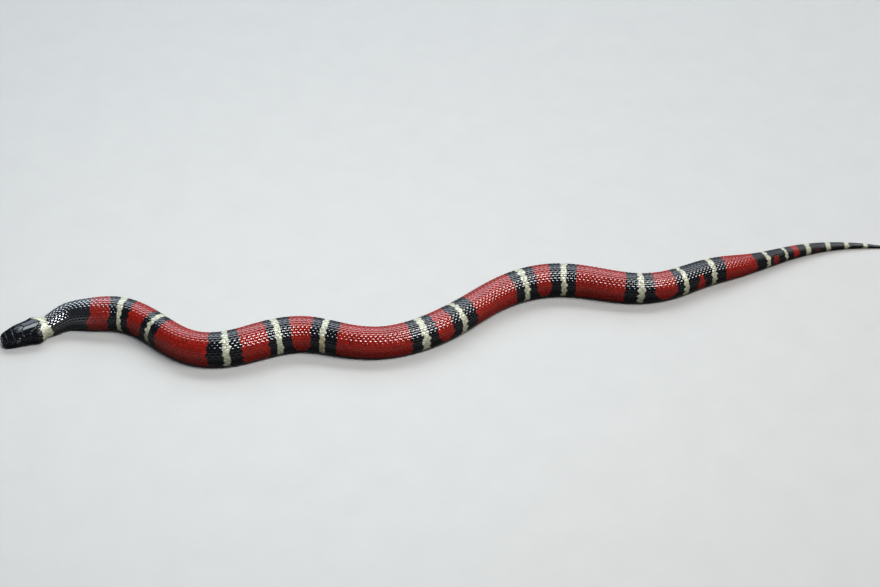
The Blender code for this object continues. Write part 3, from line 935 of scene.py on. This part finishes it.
def plate_solid(flat, faces, inset):
    """The plate closed by a flat underside and a low wall: its plan, heights, faces and way to the rim."""
    edge = ramp(inset, 0.0, PLATE_EDGE)
    top = -PLATE_SEAT + (PLATE_SEAT - PLATE_TOP) * (1.0 - (1.0 - edge) ** PLATE_ROUNDING)
    count = len(flat)
    height = np.concatenate([top, np.full(count, -PLATE_SEAT - UNDERSIDE_SINK)])
    under = faces[:, ::-1] + count
    edges = np.vstack([faces[:, [0, 1]], faces[:, [1, 2]], faces[:, [2, 0]]])
    _, first, shared = np.unique(np.sort(edges, axis=1), axis=0, return_index=True, return_counts=True)
    start, stop = edges[first[shared == 1]].T
    upper_wall = np.column_stack([stop, start, start + count])
    lower_wall = np.column_stack([stop, start + count, stop + count])
    rim = np.concatenate([1.0 - edge, np.ones(count)])
    return np.vstack([flat, flat]), height, np.vstack([faces, under, upper_wall, lower_wall]), rim


def placed_corners(hide, corners, from_belly=False):
    """A plate's corners on the way along and the way round, with lip edges set off the mouth."""
    placed = []
    for behind, arc in corners:
        along = hide.along_of(behind)
        if arc in LIP_EDGES:
            mouth = read_off(MOUTH_LINE, behind)
            arc = hide.arc_at_height(along, mouth) + LIP_EDGES[arc]
        elif from_belly:
            arc = float(hide.half(along)) - arc
        placed.append((along, arc))
    return placed


def head_plates(hide):
    """All head plates of one side and the middle, as kinds and outlines."""
    plates = [("side", placed_corners(hide, corners)) for corners in SIDE_PLATES]
    plates += [("side", placed_corners(hide, corners, True)) for corners in CHIN_PLATES]
    right = placed_corners(hide, FRONTAL)
    left = [(along, -arc) for along, arc in reversed(right) if arc > 0.0]
    plates.append(("middle", right + left))
    for corners in SNOUT_PLATES:
        turned = [(math.radians(angle), reach) for angle, reach in corners]
        right = [(reach * math.sin(angle), reach * math.cos(angle)) for angle, reach in turned]
        left = [(-x, y) for x, y in reversed(right) if abs(x) > 1e-6]
        plates.append(("snout", right + left))
    return plates


def build_head_plates(hide, material):
    """All head plates in one piece; returns the outlines that the scales keep clear of."""
    blocks = []
    outlines = []
    total = 0
    for kind, corners in head_plates(hide):
        plan, height, solid, rim = plate_solid(*plate_mesh(corners))
        if kind == "snout":
            along = np.hypot(plan[:, 0], plan[:, 1])
            arc = np.arctan2(plan[:, 0], plan[:, 1]) / math.pi * hide.half(along)
        else:
            along, arc = plan.T
            outlines.append(smooth_outline(corners))
        behind = hide.behind_nape(along)
        for side in (1.0, -1.0) if kind == "side" else (1.0,):
            points = hide.place(along, side * arc, height)
            faces = (solid if side > 0.0 else solid[:, ::-1]) + total
            share = side * arc / hide.half(along)
            uv = np.column_stack([along / PLATE_UNWRAP_LENGTH, 0.5 + 0.5 * share])
            blocks.append((points, faces, marking_and_painted_shade(behind, share), rim, gloss(behind, share), uv))
            total += len(along)
    points, faces, tone, rim, shine, uv = [np.concatenate(block) for block in zip(*blocks)]
    piece = mesh_piece("head_plates", points, faces, material)
    dress(piece, tone, rim, shine, uv)
    face_outwards(piece)
    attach(piece, "root")
    return outlines


# Scales
def model_scale():
    """One scale, modelled once: the upper half of a ball, to be drawn out to a rounded lozenge."""
    deselect()
    bpy.ops.mesh.primitive_uv_sphere_add(segments=16, ring_count=8, radius=1.0)
    ball = bpy.context.object
    bpy.ops.object.mode_set(mode="EDIT")
    bpy.ops.mesh.select_all(action="SELECT")
    cut = (0.0, 0.0, -0.01)
    bpy.ops.mesh.bisect(plane_co=cut, plane_no=(0.0, 0.0, 1.0), clear_inner=True, use_fill=True)
    bpy.ops.object.mode_set(mode="OBJECT")
    points = np.array([vertex.co[:] for vertex in ball.data.vertices])
    faces = [np.array(polygon.vertices[:]) for polygon in ball.data.polygons]
    bpy.data.objects.remove(ball, do_unlink=True)
    under = max(faces, key=len)
    faces = [face for face in faces if len(face) < len(under)]
    faces += [np.array([start, stop, len(points)]) for start, stop in zip(under, np.roll(under, -1))]
    return np.vstack([points, [cut]]), faces


def lozenge(points):
    """Draws the ball's round outline out to a lozenge; returns the plan and the way to the rim."""
    rim = np.clip(np.hypot(points[:, 0], points[:, 1]), 0.0, 1.0)
    angle = np.arctan2(points[:, 1], points[:, 0])
    power = LOZENGE_SQUARENESS
    reach = (np.abs(np.cos(angle)) ** power + np.abs(np.sin(angle)) ** power) ** (-1.0 / power)
    return np.column_stack([rim * reach * np.cos(angle), rim * reach * np.sin(angle)]), rim


class Lattice:
    """Where the scales root: staggered rows, finer where the body is thinner."""

    WALK_STEP = 0.05

    def __init__(self, hide):
        self.hide = hide
        self.walk = np.arange(0.0, hide.end, self.WALK_STEP)
        girth = np.interp(self.walk, hide.along, hide.half_width)
        narrowest = float(np.interp(hide.nape, self.walk, girth))
        girth = np.where(self.walk < hide.nape, np.minimum(girth, HEAD_SPREAD * narrowest), girth)
        size = girth / COUNTED_HALF_WIDTH
        self.pitch = np.clip(SCALE_PITCH * np.clip(size, 0.02, None) ** PITCH_POWER, LEAST_PITCH, None)
        self.phase = np.cumsum(self.WALK_STEP / self.pitch)
        self.spacing = ROW_SPACING * np.clip(size, 0.0, None) ** SPACING_POWER
        self.first_ventral = hide.along_of(VENTRALS_FROM)

    def steps(self):
        """The way along of each half step, with its number."""
        numbers = np.arange(math.ceil(self.phase[0] * 2), math.floor(self.phase[-1] * 2))
        return numbers, np.interp(numbers / 2.0, self.phase, self.walk)

    def at(self, along):
        """Pitch, row spacing and half the way round."""
        pitch = np.interp(along, self.walk, self.pitch)
        return pitch, np.interp(along, self.walk, self.spacing), float(self.hide.half(along))

    def back_scales(self):
        roots = []
        first = self.hide.along_of(HEAD_SCALES_FROM)
        for number, along in zip(*self.steps()):
            if along < first or along > self.hide.end - SCALES_SHORT_OF_TIP:
                continue
            pitch, spacing, half = self.at(along)
            beside = 1.0 - SCALES_OVER_BELLY * BELLY_SHARE
            share = beside if along > self.first_ventral else SCALES_ON_THROAT
            for row in range(number % 2, int(half * share / spacing) + 1, 2):
                for side in (1, -1) if row else (1,):
                    roots.append((along, side * row * spacing, pitch, spacing, half))
        return np.array(roots)

    def belly_plates(self):
        roots = []
        last = self.hide.end - VENTRALS_SHORT_OF_TIP
        for number, along in zip(*self.steps()):
            if number % 2 or along < self.first_ventral or along > last:
                continue
            pitch, spacing, half = self.at(along)
            roots.append((along, half, pitch, spacing, half))
        return np.array(roots)


def clear_of_plates(roots, outlines):
    """Leaves out the scales that a head plate would cover."""
    clear = np.ones(len(roots), bool)
    place = np.column_stack([roots[:, 0], np.abs(roots[:, 1])])
    near = roots[:, 0] < LAST_PLATE_BEFORE
    for outline in outlines:
        apart = distance_to(outline, place[near]) > PLATE_CLEARANCE
        clear[near] &= ~is_inside(outline, place[near]) & apart
    return roots[clear]


def scatter(hide, roots, form, rng):
    """Copies of one scale over their roots: points, faces, tones, way to the rim and plan."""
    points, faces = form
    plan, rim = lozenge(points)
    count = len(roots)
    along, arc, pitch, spacing, half = roots.T
    grow = 1.0 + GROW_CHANCE * rng.standard_normal(count)
    x = plan[:, 0][None, :] * (SCALE_LENGTH * pitch * grow)[:, None]
    y = plan[:, 1][None, :] * (SCALE_WIDTH * spacing * grow)[:, None]
    size = (spacing / ROW_SPACING)[:, None]
    thick = np.clip(SCALE_THICKNESS * size, *THICKNESS_LIMITS)
    is_under = points[:, 2] < 0.0
    dome = np.where(is_under, 0.0, 1.0 - rim ** 2.0)
    tilt = (SCALE_TILT + TILT_CHANCE * rng.standard_normal(count))[:, None] * np.clip(size, 0.3, 1.0)
    tipped = tilt * (plan[:, 0] + SCALE_PIVOT)[None, :]
    lift = -COAT_DEPTH - SCALE_SEAT + thick * dome[None, :] + tipped
    lift = np.minimum(np.where(is_under[None, :], lift - UNDERSIDE_SINK, lift), 0.0)
    placed = hide.place((along[:, None] + x).ravel(), (arc[:, None] + y).ravel(), lift.ravel())
    tone_along = (along[:, None] + COLOUR_READ_AT * x).ravel()
    share = (arc[:, None] + COLOUR_READ_AT * y).ravel() / np.repeat(half, len(points))
    wander = np.repeat(WANDER_CHANCE * rng.standard_normal(count), len(points))
    tone = marking_and_painted_shade(hide.behind_nape(tone_along) + wander, share)
    tone = tone * np.repeat(1.0 + TONE_CHANCE * rng.standard_normal(count), len(points))[:, None]
    solid = [face + len(points) * i for face in faces for i in range(count)]
    return placed, solid, tone, np.tile(rim, count), plan


def model_belly_plate(across=18, deep=5):
    """One belly plate, modelled once: a wide closed strip with rounded front and rear edges."""
    deselect()
    bpy.ops.mesh.primitive_grid_add(x_subdivisions=deep, y_subdivisions=across, size=2.0)
    sheet = bpy.context.object
    points = np.array([vertex.co[:] for vertex in sheet.data.vertices])
    top = [np.array(polygon.vertices[:]) for polygon in sheet.data.polygons]
    edge = (np.abs(points[:, 0]) > 0.999) | (np.abs(points[:, 1]) > 0.999)
    bpy.data.objects.remove(sheet, do_unlink=True)
    below = np.arange(len(points))
    below[~edge] = len(points) + np.arange((~edge).sum())
    under = [below[face][::-1] for face in top]
    is_under = np.concatenate([np.zeros(len(points), bool), np.ones((~edge).sum(), bool)])
    return np.vstack([points, points[~edge]]), top + under, is_under


def lay_belly(hide, roots, form, rng):
    """Belly plates, single to the vent and in pairs behind it."""
    points, faces, is_under = form
    lengthwise, crosswise = points[:, 0], points[:, 1]
    dome = 1.0 - np.maximum(np.abs(lengthwise) ** 4, np.abs(crosswise) ** 8)
    rim = np.maximum(np.abs(lengthwise) ** 3, np.abs(crosswise) ** 12)
    corner = 1.0 - BELLY_CORNERS * np.abs(crosswise) ** 4
    blocks = []
    solid = []
    for along, _, pitch, spacing, half in roots:
        behind = along - hide.nape
        paired = behind > VENT_AT
        reach = BELLY_SHARE * half * BELLY_OVERLAP
        if behind < FIRST_PLATES[0]:
            reach *= FIRST_PLATES[1]
        size = min(1.0, spacing / ROW_SPACING)
        depth = COAT_DEPTH * (0.3 + 0.7 * size)
        lift = -depth + BELLY_DOME * size * dome + BELLY_TILT * size * (lengthwise + BELLY_PIVOT)
        lift = np.minimum(np.where(is_under, -depth - BELLY_UNDERSIDE_SINK, lift), 0.0)
        here = np.full(len(points), along)
        for side in (1.0, -1.0) if paired else (0.0,):
            arc = half + crosswise * (0.5 * reach if paired else reach) + side * 0.5 * reach
            stagger = PAIR_STAGGER * pitch * side if paired else 0.0
            x = lengthwise * corner * BELLY_LENGTH * pitch + stagger
            share = np.where(arc > half, arc - 2.0 * half, arc) / half
            tone = marking_and_painted_shade(hide.behind_nape(here + COLOUR_READ_AT * x), share)
            tone = tone * (1.0 + BELLY_TONE_CHANCE * rng.standard_normal())
            solid += [face + len(points) * len(blocks) for face in faces]
            blocks.append((hide.place(here + x, arc, lift), tone, rim, here))
    placed, tone, rim, alongs = [np.concatenate(block) for block in zip(*blocks)]
    return placed, solid, tone, rim, alongs


def root_patches(roots, plan, low, high):
    """A patch of the unwrap for each scale, at its root's place."""
    u = PATCH_MARGIN + (1.0 - 2.0 * PATCH_MARGIN) * (roots[:, 0] - low) / (high - low)
    v = 0.5 + 0.49 * roots[:, 1] / roots[:, 4]
    return (np.column_stack([u, v])[:, None, :] + PATCH * plan[None, :, :]).reshape(-1, 2)


def belly_patches(alongs, points, low, high):
    """A patch of the unwrap for each belly plate, in a row along its edge."""
    u = np.clip((alongs - low) / (high - low), 0.0, 1.0)
    offset = np.tile(PATCH * points[:, :2], (len(u) // len(points), 1))
    return np.column_stack([u, np.full(len(u), 1.0 - PATCH_MARGIN)]) + offset


def build_coat(hide, outlines, material):
    """All scales and belly plates, joined in pieces by the body's length."""
    rng = np.random.default_rng(SEED)
    form = model_scale()
    belly_form = model_belly_plate()
    lattice = Lattice(hide)
    roots = clear_of_plates(lattice.back_scales(), outlines)
    belly = lattice.belly_plates()
    step = (VENT_AT - NECK_COAT_TO) / TRUNK_PIECES
    cuts = [hide.nape + NECK_COAT_TO + step * i for i in range(TRUNK_PIECES + 1)]
    cuts = [0.0] + cuts + [hide.end]
    names = ["scales_neck"] + [f"scales_trunk_{i + 1}" for i in range(TRUNK_PIECES)] + ["scales_tail"]
    for name, low, high in zip(names, cuts, cuts[1:]):
        chosen = roots[(roots[:, 0] >= low) & (roots[:, 0] < high)]
        under = belly[(belly[:, 0] >= low) & (belly[:, 0] < high)]
        scales, scale_faces, scale_tone, scale_rim, plan = scatter(hide, chosen, form, rng)
        plates, plate_faces, plate_tone, plate_rim, alongs = lay_belly(hide, under, belly_form, rng)
        faces = scale_faces + [face + len(scales) for face in plate_faces]
        piece = mesh_piece(name, np.vstack([scales, plates]), faces, material)
        tone = np.clip(np.vstack([scale_tone, plate_tone]), 0.0, 1.0)
        rim = np.concatenate([scale_rim, plate_rim])
        shine = np.repeat(gloss(hide.behind_nape(chosen[:, 0]), chosen[:, 1] / chosen[:, 4]), len(form[0]))
        shine = np.concatenate([shine, np.full(len(plates), LOW_GLOSS)])
        patches = [root_patches(chosen, plan, low, high), belly_patches(alongs, belly_form[0], low, high)]
        dress(piece, tone, rim, shine, np.vstack(patches))
        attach(piece, "root")


# Eyes
def build_eye(hide, name, side, material):
    """A fixed, clear-capped eye: a ball pressed flat, half sunk in its opening."""
    along = hide.along_of(EYE_BEHIND_SNOUT)
    step = 0.4
    arcs = side * np.array([hide.eye_arc, hide.eye_arc, hide.eye_arc + step, hide.eye_arc - step])
    alongs = np.array([along + step, along - step, along, along])
    around = hide.read(alongs, arcs)
    backward = Vector(around[0] - around[1]).normalized()
    down = Vector(around[2] - around[3]).normalized()
    middle = (np.array([along]), arcs[:1])
    outward = Vector(hide.place(*middle, np.ones(1))[0] - hide.place(*middle, np.zeros(1))[0]).normalized()
    seat = Vector(hide.read(*middle)[0])
    deselect()
    bpy.ops.mesh.primitive_uv_sphere_add(segments=48, ring_count=32, radius=1.0)
    eye = bpy.context.object
    eye.name = name
    iris = []
    for vertex in eye.data.vertices:
        x, y, z = vertex.co
        reach = math.hypot(x, y)
        flat = backward * (x * EYE_RADIUS) + down * (y * EYE_RADIUS)
        vertex.co = (seat + flat + outward * (z * EYE_FLATTENING - EYE_SINK)) * MM
        iris.append(iris_colour(reach if z > 0.0 else 1.0))
    eye.data.materials.append(material)
    eye.data.shade_smooth()
    paint(eye, "iris", np.array(iris))
    face_outwards(eye)
    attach(eye, "root")
    return eye


def iris_colour(reach):
    """The eye's colour at a way from its middle."""
    reaches, colours = zip(*IRIS)
    return [np.interp(reach, reaches, channel) for channel in zip(*colours)]


# Floor, lights and camera
CAMERA_TARGET = (-0.011, 0.0004, 0.007)
CAMERA_ELEVATION_DEG = 40.0
CAMERA_DISTANCE = 0.7538
LENS = 70.0
SENSOR_WIDTH = 36.0
BACKDROP_COLOUR = (0.85, 0.9, 1.0, 1.0)
BACKDROP_STRENGTH = 0.16
FLOOR_COLOURS = (0.385, 0.372, 0.355), (0.36, 0.348, 0.333)

# Soft lights: (name, place, aim, size, watts, tint, spread in degrees)
LIGHTS = [
    ("overhead", (0.05, 0.52, 0.80), (0.0, 0.0, 0.0), (1.45, 0.28), 8.3, (0.88, 0.95, 1.0), 180.0),
    ("sky", (0.0, 1.0, 0.72), (0.0, 0.0, 0.0), (1.8, 0.4), 7.0, (0.72, 0.86, 1.0), 180.0),
    ("side_key", (0.45, -0.22, 0.68), (-0.04, 0.0, 0.0), (0.32, 0.26), 4.5, (1.0, 0.985, 0.97), 180.0),
    ("head_key", (0.12, -0.34, 0.78), (-0.19, -0.01, 0.0), (0.30, 0.22), 0.55, (0.88, 0.95, 1.0), 56.0),
]


def build_floor():
    paper = Paper("pale_floor")
    grain = paper.noise(60.0)
    colour = paper.mix(grain, *FLOOR_COLOURS)
    paper.surface(Base_Color=colour, Roughness=0.85)
    deselect()
    bpy.ops.mesh.primitive_plane_add(size=6.0, location=(0.0, 0.0, 0.0))
    floor = bpy.context.object
    floor.name = "floor"
    floor.data.materials.append(paper.material)


def add_light(name, place, aim, size, power, tint, spread):
    data = bpy.data.lights.new(name, "AREA")
    data.shape = "RECTANGLE"
    data.size, data.size_y = size
    data.energy = power
    data.color = tint
    data.spread = math.radians(spread)
    lamp = bpy.data.objects.new(name, data)
    lamp.location = place
    lamp.rotation_euler = (Vector(aim) - Vector(place)).to_track_quat("-Z", "Y").to_euler()
    bpy.context.scene.collection.objects.link(lamp)


def build_lights():
    for light in LIGHTS:
        add_light(*light)
    world = bpy.data.worlds.new("studio")
    world.use_nodes = True
    backdrop = world.node_tree.nodes["Background"]
    backdrop.inputs["Color"].default_value = BACKDROP_COLOUR
    backdrop.inputs["Strength"].default_value = BACKDROP_STRENGTH
    bpy.context.scene.world = world
    bpy.context.scene.view_settings.view_transform = "Standard"
    bpy.context.scene.view_settings.look = "Medium High Contrast"


def build_camera():
    data = bpy.data.cameras.new("photo_camera")
    data.lens = LENS
    data.sensor_width = SENSOR_WIDTH
    data.clip_start = 0.01
    camera = bpy.data.objects.new("photo_camera", data)
    lift = math.radians(CAMERA_ELEVATION_DEG)
    back = Vector((0.0, -math.cos(lift), math.sin(lift)))
    camera.location = Vector(CAMERA_TARGET) + back * CAMERA_DISTANCE
    camera.rotation_euler = (-back).to_track_quat("-Z", "Y").to_euler()
    bpy.context.scene.collection.objects.link(camera)
    bpy.context.scene.camera = camera


FLESH = ["head", "lower_jaw", "neck"] + [f"trunk_{i + 1}" for i in range(6)] + ["tail_1", "tail_2"]

build_camera()
build_lights()
build_floor()
hide = Hide()
skin = build_skin(hide, skin_material())
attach(skin, "root")
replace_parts(skin, *FLESH)
scales = scale_material()
plate_outlines = build_head_plates(hide, scales)
build_coat(hide, plate_outlines, scales)
eye_finish = eye_material()
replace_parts(build_eye(hide, "right_eye_cap", 1.0, eye_finish), "eye_right")
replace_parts(build_eye(hide, "left_eye_cap", -1.0, eye_finish), "eye_left")
